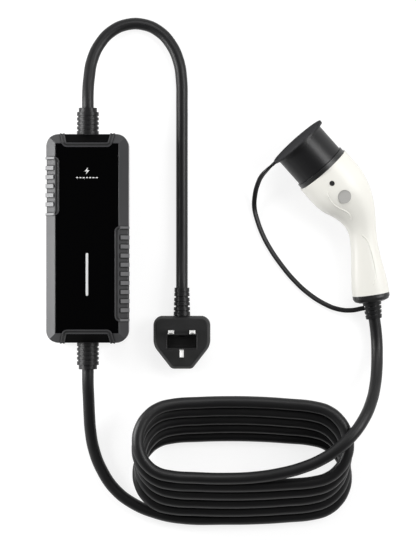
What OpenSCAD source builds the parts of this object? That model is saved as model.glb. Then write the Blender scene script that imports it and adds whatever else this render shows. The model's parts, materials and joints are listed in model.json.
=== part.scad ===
// Portable EV charger: control box, mains lead with a 13 A plug, coiled charge cable with a Type 2 gun.
// Millimetres, +Z up. Everything lies on the floor, and the middle of the box's back is the origin.

/* [Control box] */
// Width across the box
box_w = 86; // [76:1:110]
// Length of the box between its two cable ends
box_l = 218; // [200:1:260]
// Thickness from back to front
box_t = 50; // [44:1:70]
// Corner radius seen from the front
box_corner = 13; // [8:0.5:18]
// Width of the sloping strip around the front
front_bevel_w = 9.5; // [6:0.5:12]
// Height of the sloping strip
front_bevel_h = 11; // [6:0.5:13]
// Chamfer around the back
back_bevel = 4; // [2:0.5:6]
// Wall thickness of both shells
wall = 3; // [2.4:0.1:4]
// Width of the seal between the shells
seal_w = 1.4; // [1:0.1:1.8]
// Depth of the seal's groove
seal_h = 1.8; // [1:0.1:3]

/* [Grips and rims] */
// How far ribs and rims stand above the shell
raise = 0.9; // [0.4:0.1:1.4]
// Depth of the grip bays and end inserts
bay_depth = 1; // [0.6:0.1:1.4]
// Distance of a bay's inner edge from the middle line
bay_x = 29; // [26:0.5:31]
// Corner radius of a bay
bay_r = 5; // [3.5:0.5:6]
// Middle of the left bay along the box
left_bay_y = 54.5; // [45:0.5:60]
// Middle of the right bay along the box
right_bay_y = -37; // [-42:0.5:-30]
// Ribs in the left bay, between its two end rims
left_ribs = 5; // [3:1:6]
// Ribs in the right bay, between its two end rims
right_ribs = 9; // [5:1:10]
// Distance from rib to rib
rib_pitch = 9.5; // [7:0.1:9.8]
// Width of a rib
rib_w = 4.2; // [3:0.1:6]
// Width of the raised rims beside the panel
rim_w = 4.6; // [3.4:0.1:5]
// Width of a bay's rim at its two ends
rim_end = 2.4; // [1.6:0.1:3]
// Width of the groove along a rim
rim_groove_w = 1.8; // [1:0.1:2.2]
// Depth of the groove along a rim
rim_groove_d = 0.5; // [0.2:0.1:0.8]
// Distance of the ribs' inner ends from the middle line
rib_x = 35; // [33:0.5:37]
// Half width of an end insert at the end of the box
insert_w_out = 23.8; // [20:0.1:25]
// Half width of an end insert at its inner edge
insert_w_in = 21.5; // [16:0.1:23]
// Length of an end insert along the box
insert_l = 9.3; // [8:0.1:12]

/* [Front panel] */
// Thickness of the gloss panel
panel_t = 2; // [1.2:0.1:3]
// Shell border left around the panel
panel_edge = 0.8; // [0.4:0.1:2]
// Gap around the panel
panel_gap = 0.2; // [0.1:0.05:0.4]
// Length of the light bar
light_l = 44.5; // [30:0.5:60]
// Width of the light bar
light_w = 2.5; // [2:0.1:5]
// Middle of the light bar along the box
light_y = -37.5; // [-50:0.5:-20]

/* [Boards and parts inside] */
// Width of the main board
board_w = 60; // [50:1:62]
// Length of the main board
board_l = 156; // [150:1:160]
// Thickness of both boards
board_t = 1.6; // [1:0.1:2.4]
// Height of the bosses under the main board
board_lift = 5; // [3:0.5:8]
// Width of the light board
led_board_w = 12; // [9:1:20]
// Height of a relay
relay_h = 18; // [12:0.5:22]
// Outer radius of the leakage sensor ring
sensor_r = 12; // [9:0.5:13]
// Height of the supply module
supply_h = 20; // [12:0.5:24]
// Radius of a capacitor
capacitor_r = 5; // [3:0.5:6]
// Width of a terminal block
terminal_w = 30; // [24:1:36]
// Radius of a shell screw's head
screw_head_r = 3; // [2.5:0.1:3.4]
// Radius of a screw's shank
screw_r = 1.5; // [1.2:0.1:1.8]

/* [Cables and boots] */
// Diameter of both cables
cable_d = 12.4; // [10:0.1:13]
// Radius of a box boot
boot_r = 11.5; // [10.5:0.1:13]
// Length of a box boot outside the box
boot_l = 28; // [24:0.5:30]
// Radius of a boot's neck in the shell wall
boot_neck_r = 9.5; // [8.5:0.1:10]
// Grooves around a box boot
boot_grooves = 4; // [2:1:5]
// Length of a cable clamp along the cable
clamp_l = 8; // [6:0.5:10]

/* [Plug] */
// Width of the plug body
plug_w = 60; // [54:0.5:62]
// Length of the plug body
plug_l = 56; // [54:0.5:58]
// Thickness of the plug body
plug_t = 24; // [22:0.5:28]
// Straight width of the narrow end of the plug
plug_end_w = 16; // [12:0.5:18]
// Length of the plug's cable boot
plug_boot_l = 29.5; // [24:0.5:32]
// Radius of the plug's cable boot
plug_boot_r = 8.2; // [7.8:0.1:9]
// Distance from the plug's cable end to the two small pins
pin_row = 17; // [16:0.1:17.6]
// Fuse carrier width
carrier_w = 30; // [28:0.5:32]
// Fuse carrier height on the face
carrier_h = 13; // [12:0.1:13.2]

/* [Gun] */
// Half width of the gun's head
head_w = 31; // [28:0.5:33]
// Half thickness of the gun's head
head_t = 28.5; // [26.5:0.5:30]
// Half width of the handle at its narrowest
grip_w = 14.2; // [13:0.2:18]
// Half thickness of the handle at its narrowest
grip_t = 14; // [13:0.2:16]
// Half width of the handle at its tail
tail_w = 19.5; // [17:0.5:22]
// Half thickness of the handle at its tail
tail_t = 15; // [14:0.2:18]
// Straight length of the head
head_l = 35; // [30:1:40]
// Radius of the bend between head and handle
bend_r = 80; // [70:1:95]
// Angle between head and handle
bend_angle = 34; // [30:1:38]
// Straight length of the handle
handle_l = 63; // [55:1:75]
// Wall thickness of the gun shells
gun_wall = 2.6; // [2:0.1:3.4]
// Length of the black tail ring
tail_ring_l = 8; // [6:0.5:10]
// Radius of the gun's cable boot
gun_boot_r = 10; // [8.5:0.1:11]
// Length of the gun's cable boot
gun_boot_l = 18; // [14:0.5:22]
// Radius of the badge disc
badge_r = 6.9; // [5:0.1:8]
// Radius of the screw plug
dot_r = 2.6; // [2:0.1:3.5]

/* [Nose and cap] */
// Radius of the collar ring
collar_r = 29.5; // [28:0.1:31]
// Length of the collar ring
collar_l = 5; // [3:0.2:7]
// Radius of the nose
nose_r = 25; // [23.5:0.1:25.4]
// Length of the nose in front of the gun shell
nose_l = 36.5; // [32:0.5:40]
// Depth of the flat on the nose
nose_flat = 3.5; // [2:0.5:5]
// Wall thickness of the nose's shroud
nose_wall = 2.6; // [2:0.1:3]
// Wall thickness of the tower around each contact
tower_wall = 1.2; // [0.8:0.1:1.4]
// Outer radius of the cap
cap_r = 28; // [27.4:0.1:29]
// Radius of the cap's flange
flange_r = 32.5; // [30.5:0.1:33]
// Thickness of the cap's flange
flange_t = 2.6; // [1.6:0.1:4]
// Thickness of the cap's end
cap_end = 3.6; // [3:0.1:5]
// Gap between cap and nose
cap_gap = 0.3; // [0.2:0.05:0.5]
// Bore radius of a power contact
power_r = 3; // [2.6:0.05:3.2]
// Bore radius of a signal contact
signal_r = 1.55; // [1.3:0.05:1.8]
// Width of the tether strap
tether_w = 5; // [4:0.2:6]
// Thickness of the tether strap
tether_t = 3; // [2:0.2:4]

/* [Coil] */
// Full turns in the coil
coil_turns = 5; // [4:1:6]
// Radius at the ends of a turn
coil_fold_r = 38; // [37:0.5:45]
// Width of a turn at the middle of the cable
coil_w = 216; // [200:1:230]
// Step of each turn towards the box
coil_step = 10.5; // [8:0.5:12]

/* [Hidden] */
$fn = 48;
eps = 0.01;
big = 400;
fit = 0.15;
cable_r = cable_d / 2;
cable_sides = 12;
tether_sides = 8;
corner_steps = 6;
bore_r = cable_r + 0.3;
half_w = box_w / 2;
half_l = box_l / 2;
split_z = box_t / 2;
bevel_z = box_t - front_bevel_h;
cavity_top = box_t - panel_t - wall;
insert_t = bay_depth + 0.6;
insert_back = 0.2;
insert_r = 1;
bay_slack = 0.8;
left_bay_l = (left_ribs + 1) * rib_pitch + rim_end + 2 * bay_slack;
right_bay_l = (right_ribs + 1) * rib_pitch + rim_end + 2 * bay_slack;
groove_in = (rim_w - rim_groove_w) / 2;
groove_out = groove_in + rim_groove_w;
bay_far = half_w + 2 * bay_r;
raised_z = split_z + 4;

board_z = wall + board_lift;
board_top = board_z + board_t;
board_hole_x = board_w / 2 - 4;
board_hole_y = board_l / 2 - 22;
boss_r = 3.2;
led_drop = 3;
led_z = cavity_top - led_drop - board_t;
led_boss_y = light_l / 2 + boss_r + 0.5;
led_board_l = 2 * (led_boss_y + boss_r + 1);
tower_r = screw_head_r + 1.4;
tower_x = half_w - wall - tower_r + 0.6;
tower_y = half_l - wall - tower_r - 9;
screw_places = [for (x = [-1, 1], y = [-1, 0, 1]) [x * tower_x, y * tower_y]];
screw_seat = split_z - 7;
screw_head_h = 2.5;
screw_l = 20;
screw_slot_l = 3.6;
screw_slot_w = 0.8;
screw_slot_d = 1.4;
pilot_r = screw_r + 0.05;
clear_r = screw_r + 0.2;
head_clear_r = screw_head_r + 0.3;
boot_flange_r = boot_neck_r + 3;
boot_flange_t = 3;
boot_tip_l = 4.5;
boot_step = 1.9;
boot_groove_w = 1.9;
boot_groove_d = 1.1;
clamp_y = half_l - wall - boot_flange_t - 4 - clamp_l / 2;
clamp_half_w = cable_r + 8;
clamp_screw_x = cable_r + 4.3;
clamp_top = split_z + cable_r + 3;
cable_end_y = clamp_y - clamp_l / 2 - 4;
terminal_l = 14;
terminal_y = board_l / 2 - terminal_l / 2 - 1;
terminal_h = split_z + 5 - board_top;
terminal_hole_r = 2.4;
terminal_hole_d = 4;
terminal_step = terminal_w * 0.32;
relay_w = 18;
relay_l = 26;
relay_x = 12;
relay_y = 21;
sensor_wall = 6;
sensor_h = 14;
sensor_x = -13;
sensor_y = -22;
supply_w = 22;
supply_l = 34;
supply_x = 15;
supply_y = -23;
capacitor_h = 18;
capacitor_x = 17;
capacitor_y = 46;
clamp_screw_bite = 8;
core_r = 1.9;
core_ring = cable_r * 0.45;
signal_core_r = 0.9;
signal_core_ring = core_ring + 1.2;

plug_x = 98.5;
plug_y = -81;
plug_cord_z = 12.5;
plug_corner = 10;
plug_side_r = 18;
plug_slope = 38;
plug_foot = plug_end_w / 2;
slice_t = 0.1;
plug_back_in = 4.5;
plug_back_h = 5;
plug_waist_in = 0.8;
plug_full_z = 12;
plug_face_h = 4;
plug_draft = 0.4;
plug_face_in = 3.2;
plug_foot_r = 6;
plug_side_y = plug_l - plug_foot_r
    + (cos(plug_slope) * (plug_foot - plug_w / 2 + plug_side_r) + plug_foot_r - plug_side_r) / sin(plug_slope);
plug_neck_r = plug_boot_r - 1;
plug_neck_l = 3.5;
plug_neck_past = 1.5;
plug_boot_flare = 0.6;
plug_boot_taper = 0.4;
plug_ring_l = plug_boot_l / 3;
plug_notch_w = 1.7;
plug_notch_d = 1.5;
plug_line_w = 1.2;
plug_line_d = 0.7;
pin_gap = 22.2;
pin_w = 6.35;
pin_thick = 3.97;
earth_w = 7.95;
pin_out = 17.7;
earth_out = 22.7;
pin_root = 8;
pin_tip = 1.6;
pin_tip_in = 0.8 * pin_tip;
sleeve_l = 9.5;
sleeve_wall = 0.6;
carrier_gap = 0.25;
carrier_y = -(pin_row + (pin_gap - (earth_w - pin_thick) / 2) / 2);
carrier_t = 5;
carrier_sunk = 1.2;
carrier_lip = 2.4;
carrier_dish = 1.2;
frame_w = 1;
frame_h = 0.5;
lever_slot_w = 6;
lever_slot_l = 3;
lever_slot_d = 2.6;
recess_d = 13.2;
fuse_r = 3.15;
fuse_l = 25.4;
fuse_z = plug_t - carrier_t - fuse_r - 0.6;
fuse_gap = 0.1;
fuse_cap_l = 6;
fuse_cap_t = 0.2;
clip_x = 9.2;
clip_w = 5;
clip_t = 0.7;
clip_over = 1.5;
prong_w = 8;
prong_t = 1.2;
prong_l = 7.4;

gun_x = 246;
gun_y = 72;
gun_tilt = 7;
gun_heading = 42;
gun_arc_l = bend_r * bend_angle * PI / 180;
gun_l = head_l + gun_arc_l + handle_l;
gun_rings = 28;
gun_sides = 20;
section_power = 2.3;
neck_from = 20;
neck_to = 85;
flare_from = 88;
belly_s = 30;
ring_flat = 0.45;
tail_s = gun_l + ring_flat * tail_ring_l;
tail_drop = -spine(tail_s)[1] * sin(gun_tilt) + half_t(tail_s) * cos(gun_tilt);
belly_drop = -spine(belly_s)[1] * sin(gun_tilt) + half_t(belly_s) * cos(gun_tilt);
gun_z = max(tail_drop, belly_drop) + 0.1;
nose_back = 14;
collar_gap = 0.1;
nose_seat_r = nose_r - 0.5;
power_wall = 1;
signal_wall = 0.9;
contact_in = 6;
contact_l = 34;
contact_gap = 0.05;
crimp_l = 8;
tip_gap = 0.4;
well_z = collar_l + 1;
tower_back = 1.5;
power_places = [[0, 0], [1.5, 12.5], [1.5, -12.5]];
spare_places = [[13, 7], [13, -7]];
signal_places = [[-10.5, 6], [-10.5, -6]];
cap_face_gap = 0.4;
cap_out = nose_l + cap_face_gap + cap_end;
cap_flare = 0.8;
cap_flare_l = 3;
cap_bore_r = nose_r + cap_gap;
cap_rim_w = 3;
cap_dish = 0.8;
lug_l = 4;
lug_w = 7;
badge_s = 33;
badge_x = 2.9;
badge_t = 1.5;
dot_s = 13.7;
dot_x = 3.5;
dot_t = 1.5;
gun_screws_at = [[24, 17], [24, -17], [70, 8.5], [134, 11.4], [134, -11.4]];
gun_boss_r = 4;
gun_boss_sunk = 0.6;
gun_seat_d = 7;
gun_screw_bite = 6;
gun_clamp_l = 9;
clamp_to_boss = 9.5;
gun_clamp_s = gun_screws_at[3][0] - gun_boss_r - clamp_to_boss - gun_clamp_l / 2;
gun_core_steps = 8;
gun_core_r = 3.5;
gun_bore_r = bore_r + 0.5;
gun_neck_r = gun_boot_r - 2;
gun_boot_stop_l = 4;
gun_boot_stop = 1;
gun_boot_taper = 1.6;
gun_groove_d = 2.2;
gun_ribs = 4;
gun_groove_share = 0.4;
gun_core_end = 107;

coil_x = 162;
coil_front_y = -297;

// Cable routes, from the inside of the box outwards
mains_route = [[0, 87, 25], [0, 110, 25], [0, 137, 25], [0, 152, 24], [1, 168, 21], [4, 187, 17], [12, 205, 13],
    [25, 219, 10], [41, 226, 8], [58, 226, 7], [74, 219, 6.6], [87, 205, 6.6], [95, 187, 6.6], [98, 168, 6.6],
    [98.5, 140, 6.6], [98.5, 100, 6.6], [98.5, 60, 6.6], [98.5, 20, 6.6], [98.5, -5, 7], [98.5, -25, 9.4],
    [98.5, -40, 11.8], [98.5, -52, 12.5], [98.5, -66, 12.5], [98.5, -78, 12.5]];
lead_in_route = [[0, -87, 25], [0, -110, 25], [0, -137, 25], [0, -152, 23.5], [0.5, -168, 19], [1, -185, 13],
    [2.5, -201, 8.5], [7, -221, 6.8], [16, -242, 6.6], [31, -263, 6.6], [50, -277, 6.6], [72, -287, 6.6],
    [95, -294, 6.6], [120, -297, 6.6]];
lead_out_route = [[95, -244.5, 68.4], [120, -244.5, 68.4], [150, -244.5, 68.4], [180, -244, 68.6],
    [204, -242, 70], [224, -237.5, 72], [243, -229, 73], [258, -217.5, 72.5], [270, -203, 68],
    [280, -187, 58.5], [288, -170, 45], [294, -153, 30], [298, -137, 17.5], [301, -122, 9.8],
    [302.5, -110, 9.2], [302.5, -98, 10.7], [301, -86, 12.5], [298.6, -68, 14.4], [296, -49, 16.3],
    [293, -27, 18.6]];
tether_route = [[192.5, 76, 36.2], [188, 72, 34.8], [182.5, 66, 29], [178.5, 58, 20], [175.5, 46, 10],
    [175, 33, 4], [178, 20, 1.9], [184, 4, 1.9], [192, -11, 1.9], [203, -27, 1.9], [216, -42, 1.9],
    [232, -56, 1.9], [250, -67, 2.6], [263, -72, 5], [276, -74, 9.2], [290.5, -73, 13.4]];

// Shared plan shapes
module rounded_plan(hw, hl, r) {
    square([2 * hw, 2 * (hl - r)], center = true);
    square([2 * (hw - r), 2 * hl], center = true);
    for (x = [-1, 1], y = [-1, 1]) translate([x * (hw - r), y * (hl - r)]) circle(r);
}

function corner_arc(c, r, from, to) = [for (k = [0:corner_steps]) let (a = from + (to - from) * k / corner_steps)
    c + r * [cos(a), sin(a)]];

module slot_plan(w, l) {
    square([w, l - w], center = true);
    for (y = [-1, 1]) translate([0, y * (l - w) / 2]) circle(w / 2);
}

// Turns what is built along +Z so that it runs along +Y (end 1) or -Y (end -1) at the height of the split
module along_box(end) {
    translate([0, 0, split_z]) rotate([-90 * end, 0, 0]) children();
}

// Control box: the outer body grown by o on every face
function bevel_ends(half, o) = let (
    n = [front_bevel_h, front_bevel_w] / norm([front_bevel_h, front_bevel_w]),
    c = n[0] * half + n[1] * bevel_z + o)
    [[half + o, (c - n[0] * (half + o)) / n[1]], [(c - n[1] * (box_t + o)) / n[0], box_t + o]];

function side_points(half, o) = concat(
    [[half - back_bevel + o * (sqrt(2) - 1), -o], [half + o, back_bevel - o * (sqrt(2) - 1)]],
    bevel_ends(half, o));

module side_profile(half, o) {
    right = side_points(half, o);
    polygon(concat(right, [for (i = [3:-1:0]) [-right[i][0], right[i][1]]]));
}

module box_body(o) {
    intersection() {
        rotate([90, 0, 0]) linear_extrude(box_l + 20, center = true) side_profile(half_w, o);
        rotate([90, 0, 90]) linear_extrude(box_w + 20, center = true) side_profile(half_l, o);
        translate([0, 0, -o]) linear_extrude(box_t + 2 * o)
            rounded_plan(half_w + o, half_l + o, box_corner + o);
    }
}

module above(z) {
    translate([-big / 2, -big / 2, z]) cube([big, big, big]);
}

module below(z) {
    translate([-big / 2, -big / 2, z - big]) cube([big, big, big]);
}

module box_skin(out, deep) {
    difference() {
        box_body(out);
        box_body(-deep);
    }
}

module bay_plan(side, grow) {
    y = side < 0 ? left_bay_y : right_bay_y;
    l = side < 0 ? left_bay_l : right_bay_l;
    translate([side * (bay_x + bay_far) / 2, y])
        rounded_plan((bay_far - bay_x) / 2 + grow, l / 2 + grow, bay_r + grow);
}

module bay_floor_plan(side) {
    y = side < 0 ? left_bay_y : right_bay_y;
    l = side < 0 ? left_bay_l : right_bay_l;
    translate([side * (bay_x + rim_w + bay_far) / 2, y])
        rounded_plan((bay_far - bay_x - rim_w) / 2, l / 2 - rim_end, bay_r - rim_end);
}

// An end insert's outline grown by grow: it widens to the end of the box and has two rounded inner corners
module insert_plan(end, grow) {
    slope = atan((insert_w_out - insert_w_in) / insert_l);
    past = 8;
    r = insert_r + max(grow, 0);
    y_in = half_l - insert_l - grow;
    w_in = insert_w_in + grow / cos(slope) - grow * tan(slope);
    w_out = w_in + (insert_l + grow + past) * tan(slope);
    corner = [w_in - r * (1 - sin(slope)) / cos(slope), y_in + r];
    right = concat(corner_arc(corner, r, -90, -slope), [[w_out, half_l + past]]);
    scale([1, end]) polygon(concat(right, [for (i = [len(right) - 1:-1:0]) [-right[i][0], right[i][1]]]));
}

module rib_plan(side) {
    count = side < 0 ? left_ribs : right_ribs;
    y = side < 0 ? left_bay_y : right_bay_y;
    for (i = [0:count - 1])
        translate([side * (rib_x + bay_far) / 2, y + (i - (count - 1) / 2) * rib_pitch])
            square([bay_far - rib_x, rib_w], center = true);
}

module raised_plan() {
    for (side = [-1, 1]) {
        difference() {
            bay_plan(side, 0);
            bay_floor_plan(side);
        }
        rib_plan(side);
    }
    for (end = [-1, 1]) difference() {
        insert_plan(end, rim_w);
        insert_plan(end, 0);
    }
}

module groove_plan() {
    intersection() {
        square([2 * (bay_x + rim_w), box_l], center = true);
        for (side = [-1, 1]) difference() {
            bay_plan(side, -groove_in);
            bay_plan(side, -groove_out);
        }
    }
    for (end = [-1, 1]) difference() {
        insert_plan(end, rim_w - groove_in);
        insert_plan(end, rim_w - groove_out);
    }
}

module panel_plan(grow) {
    difference() {
        square([2 * (half_w - front_bevel_w - panel_edge + grow),
            2 * (half_l - front_bevel_w - panel_edge + grow)], center = true);
        for (side = [-1, 1]) bay_plan(side, panel_gap - grow);
        for (end = [-1, 1]) insert_plan(end, rim_w + panel_gap - grow);
    }
}

module boot_holes() {
    for (end = [-1, 1]) along_box(end) translate([0, 0, half_l - wall - 5])
        cylinder(r = boot_neck_r + fit, h = wall + 10);
}

module front_shell() color("dimgray") {
    difference() {
        union() {
            difference() {
                intersection() {
                    box_body(0);
                    above(split_z);
                }
                intersection() {
                    box_body(-wall);
                    below(cavity_top);
                }
                intersection() {
                    box_skin(2, bay_depth);
                    translate([0, 0, raised_z]) linear_extrude(box_t)
                        for (side = [-1, 1]) bay_floor_plan(side);
                }
                intersection() {
                    box_skin(2, insert_t);
                    translate([0, 0, bevel_z]) linear_extrude(box_t)
                        for (end = [-1, 1]) insert_plan(end, 0);
                }
            }
            intersection() {
                box_skin(raise, bay_depth + 0.5);
                translate([0, 0, raised_z]) linear_extrude(box_t) raised_plan();
            }
            intersection() {
                box_body(-wall / 2);
                for (p = screw_places) translate([p[0], p[1], split_z])
                    cylinder(r = tower_r, h = cavity_top - split_z + eps);
            }
            for (y = [-1, 1]) translate([0, light_y + y * led_boss_y, cavity_top - led_drop])
                cylinder(r = boss_r, h = led_drop + eps);
        }
        intersection() {
            box_skin(2, rim_groove_d - raise);
            translate([0, 0, raised_z]) linear_extrude(box_t) groove_plan();
        }
        translate([0, 0, box_t - panel_t]) linear_extrude(box_t) panel_plan(panel_gap);
        translate([0, light_y, cavity_top - 1]) linear_extrude(box_t)
            slot_plan(light_w + 2 * fit, light_l + 2 * fit);
        for (p = screw_places) translate([p[0], p[1], split_z - eps])
            cylinder(r = pilot_r, h = screw_l - (split_z - screw_seat) + 1);
        boot_holes();
    }
}

module seal_plan() {
    far = (seal_w - wall) / 2;
    near = -(seal_w + wall) / 2;
    difference() {
        rounded_plan(half_w + far, half_l + far, box_corner + far);
        rounded_plan(half_w + near, half_l + near, box_corner + near);
    }
}

module shell_seal() color("orangered") {
    difference() {
        translate([0, 0, split_z - seal_h]) linear_extrude(seal_h) seal_plan();
        boot_holes();
    }
}

module rear_shell() color("dimgray") {
    difference() {
        union() {
            difference() {
                intersection() {
                    box_body(0);
                    below(split_z);
                }
                box_body(-wall);
            }
            for (p = screw_places) translate([p[0], p[1], wall - eps])
                cylinder(r = tower_r, h = split_z - wall + eps);
            for (x = [-1, 1], y = [-1, 1]) translate([x * board_hole_x, y * board_hole_y, wall - eps])
                cylinder(r = boss_r, h = board_lift + eps);
            for (end = [-1, 1]) translate([-clamp_half_w, end * clamp_y - clamp_l / 2, wall - eps])
                cube([2 * clamp_half_w, clamp_l, split_z - wall + eps]);
        }
        translate([0, 0, split_z - seal_h]) linear_extrude(seal_h + 1) seal_plan();
        for (p = screw_places) translate([p[0], p[1], -1]) {
            cylinder(r = clear_r, h = split_z + 2);
            cylinder(r = head_clear_r, h = screw_seat + 1);
        }
        for (x = [-1, 1], y = [-1, 1]) translate([x * board_hole_x, y * board_hole_y, wall])
            cylinder(r = pilot_r, h = board_lift + 1);
        for (end = [-1, 1]) {
            along_box(end) translate([0, 0, clamp_y - clamp_l]) cylinder(r = bore_r, h = 2 * clamp_l);
            for (x = [-1, 1]) translate([x * clamp_screw_x, end * clamp_y, split_z - clamp_screw_bite - 2])
                cylinder(r = pilot_r, h = clamp_screw_bite + 3);
        }
        boot_holes();
    }
}

module front_panel() color("black") {
    difference() {
        translate([0, 0, box_t - panel_t]) linear_extrude(panel_t) panel_plan(0);
        translate([0, light_y, 0]) linear_extrude(2 * box_t)
            slot_plan(light_w + 2 * fit, light_l + 2 * fit);
    }
}

module light_bar() color("white") {
    foot = led_z + board_t;
    translate([0, light_y, foot]) linear_extrude(box_t - foot) slot_plan(light_w, light_l);
}

module end_insert(end) color("black") {
    intersection() {
        difference() {
            box_body(-insert_back);
            box_body(-insert_t);
        }
        translate([0, 0, bevel_z]) linear_extrude(box_t) insert_plan(end, -fit);
    }
}

module top_insert() {
    end_insert(1);
}

module bottom_insert() {
    end_insert(-1);
}

module led_board() color("darkgreen") {
    translate([-led_board_w / 2, light_y - led_board_l / 2, led_z])
        cube([led_board_w, led_board_l, board_t]);
}

module main_board() color("darkgreen") {
    difference() {
        translate([-board_w / 2, -board_l / 2, board_z]) cube([board_w, board_l, board_t]);
        for (x = [-1, 1], y = [-1, 1]) translate([x * board_hole_x, y * board_hole_y, board_z - 1])
            cylinder(r = clear_r, h = board_t + 2);
    }
}

module relays() color("royalblue") {
    for (x = [-1, 1]) translate([x * relay_x - relay_w / 2, relay_y - relay_l / 2, board_top])
        cube([relay_w, relay_l, relay_h]);
}

module leakage_sensor() color("khaki") {
    translate([sensor_x, sensor_y, board_top]) rotate_extrude()
        translate([sensor_r - sensor_wall, 0]) square([sensor_wall, sensor_h]);
}

module supply_module() color("gold") {
    translate([supply_x - supply_w / 2, supply_y - supply_l / 2, board_top])
        cube([supply_w, supply_l, supply_h]);
}

module capacitors() color("navy") {
    for (x = [-1, 1]) translate([x * capacitor_x, capacitor_y, board_top])
        cylinder(r = capacitor_r, h = capacitor_h);
}

module terminal_block(end) color("seagreen") {
    difference() {
        translate([-terminal_w / 2, end * terminal_y - terminal_l / 2, board_top])
            cube([terminal_w, terminal_l, terminal_h]);
        for (x = [-1, 0, 1])
            translate([x * terminal_step, end * terminal_y, board_top + terminal_h - terminal_hole_d])
                cylinder(r = terminal_hole_r, h = terminal_hole_d + 1);
    }
}

module input_terminals() {
    terminal_block(1);
}

module output_terminals() {
    terminal_block(-1);
}

// A cross-slotted screw: its head stands on z = 0 with the slot below
module screw(length) {
    difference() {
        cylinder(r = screw_head_r, h = screw_head_h);
        for (a = [0, 90]) rotate(a) translate([-screw_slot_l / 2, -screw_slot_w / 2, -eps])
            cube([screw_slot_l, screw_slot_w, screw_slot_d]);
    }
    translate([0, 0, screw_head_h - eps]) cylinder(r = screw_r, h = length);
}

module shell_screws() color("silver") {
    for (p = screw_places) translate([p[0], p[1], screw_seat - screw_head_h]) screw(screw_l);
}

module board_screws() color("silver") {
    for (x = [-1, 1], y = [-1, 1]) translate([x * board_hole_x, y * board_hole_y, board_top + screw_head_h])
        rotate([180, 0, 0]) screw(board_t + board_lift - 1);
}

module cable_clamp(end) color("slategray") {
    difference() {
        translate([-clamp_half_w, end * clamp_y - clamp_l / 2, split_z])
            cube([2 * clamp_half_w, clamp_l, clamp_top - split_z]);
        along_box(end) translate([0, 0, clamp_y - clamp_l]) cylinder(r = bore_r, h = 2 * clamp_l);
        for (x = [-1, 1]) translate([x * clamp_screw_x, end * clamp_y, split_z - 1])
            cylinder(r = clear_r, h = 2 * clamp_top);
    }
}

module mains_clamp() {
    cable_clamp(1);
}

module charge_clamp() {
    cable_clamp(-1);
}

module clamp_screws() color("silver") {
    for (end = [-1, 1], x = [-1, 1]) translate([x * clamp_screw_x, end * clamp_y, clamp_top + screw_head_h])
        rotate([180, 0, 0]) screw(clamp_top - split_z + clamp_screw_bite);
}

// A boot held in the box's end wall: inner flange, neck, ringed sleeve and a narrower tip
module box_boot(end) color("black") {
    sleeve_end = boot_l - boot_tip_l;
    pitch = sleeve_end / (boot_grooves + 1);
    along_box(end) difference() {
        union() {
            translate([0, 0, half_l - wall - boot_flange_t]) cylinder(r = boot_flange_r, h = boot_flange_t);
            translate([0, 0, half_l - wall - eps]) cylinder(r = boot_neck_r, h = wall + 2 * eps);
            translate([0, 0, half_l]) cylinder(r = boot_r, h = sleeve_end);
            translate([0, 0, half_l + sleeve_end - eps])
                cylinder(r = boot_r - boot_step, h = boot_tip_l + eps);
        }
        translate([0, 0, half_l - wall - boot_flange_t - 1]) cylinder(r = bore_r, h = 2 * boot_l);
        for (i = [1:boot_grooves]) translate([0, 0, half_l + i * pitch - boot_groove_w / 2]) rotate_extrude()
            translate([boot_r - boot_groove_d, 0]) square([2 * boot_groove_d, boot_groove_w]);
    }
}

module mains_boot() {
    box_boot(1);
}

module charge_boot() {
    box_boot(-1);
}

module cores(end, signals) {
    l = cable_end_y - terminal_y - terminal_l / 2;
    along_box(end) translate([0, 0, cable_end_y - l]) {
        for (i = [0:2]) rotate(90 + i * 120) translate([core_ring, 0, 0]) cylinder(r = core_r, h = l);
        for (i = [0:signals - 1]) rotate(30 + i * 120) translate([signal_core_ring, 0, 0])
            cylinder(r = signal_core_r, h = l);
    }
}

module mains_cores() color("saddlebrown") cores(1, 0);

module charge_cores() color("saddlebrown") cores(-1, 2);

// Plug: a shield outline with rounded corners, inset all round by i
function shield_half(i) = concat(
    corner_arc([plug_w / 2 - plug_corner, -plug_corner], plug_corner - i, 80, 0),
    corner_arc([plug_w / 2 - plug_side_r, -plug_side_y], plug_side_r - i, 0, -plug_slope),
    corner_arc([plug_foot, plug_foot_r - plug_l], plug_foot_r - i, -plug_slope, -90));

function shield_points(i) = let (right = shield_half(i))
    concat(right, [for (k = [len(right) - 1:-1:0]) [-right[k][0], right[k][1]]]);

module plug_slice(z, i) {
    translate([0, 0, z]) linear_extrude(slice_t) polygon(shield_points(i));
}

module plug_place() {
    translate([plug_x, plug_y, 0]) children();
}

module pin_blank(w, t, h) {
    tip = [[-w / 2, 0], [w / 2, 0], [w / 2, h - 2 * pin_tip], [w / 2 - pin_tip, h], [pin_tip - w / 2, h],
        [-w / 2, h - 2 * pin_tip]];
    side = [[-t / 2, 0], [t / 2, 0], [t / 2, h - 2 * pin_tip], [t / 2 - pin_tip_in, h],
        [pin_tip_in - t / 2, h], [-t / 2, h - 2 * pin_tip]];
    intersection() {
        rotate([90, 0, 0]) linear_extrude(t, center = true) polygon(tip);
        rotate([90, 0, 90]) linear_extrude(w, center = true) polygon(side);
    }
}

module block(w, l, z0, z1) {
    translate([-w / 2, -l / 2, z0]) cube([w, l, z1 - z0]);
}

module pin_slots() {
    slack = 0.1;
    for (x = [-1, 1]) translate([x * pin_gap / 2, -pin_row, 0])
        block(pin_w + slack, pin_thick + slack, plug_t - pin_root, plug_t + 1);
    translate([0, -pin_row - pin_gap, 0])
        block(pin_thick + slack, earth_w + slack, plug_t - pin_root, plug_t + 1);
}

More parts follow.
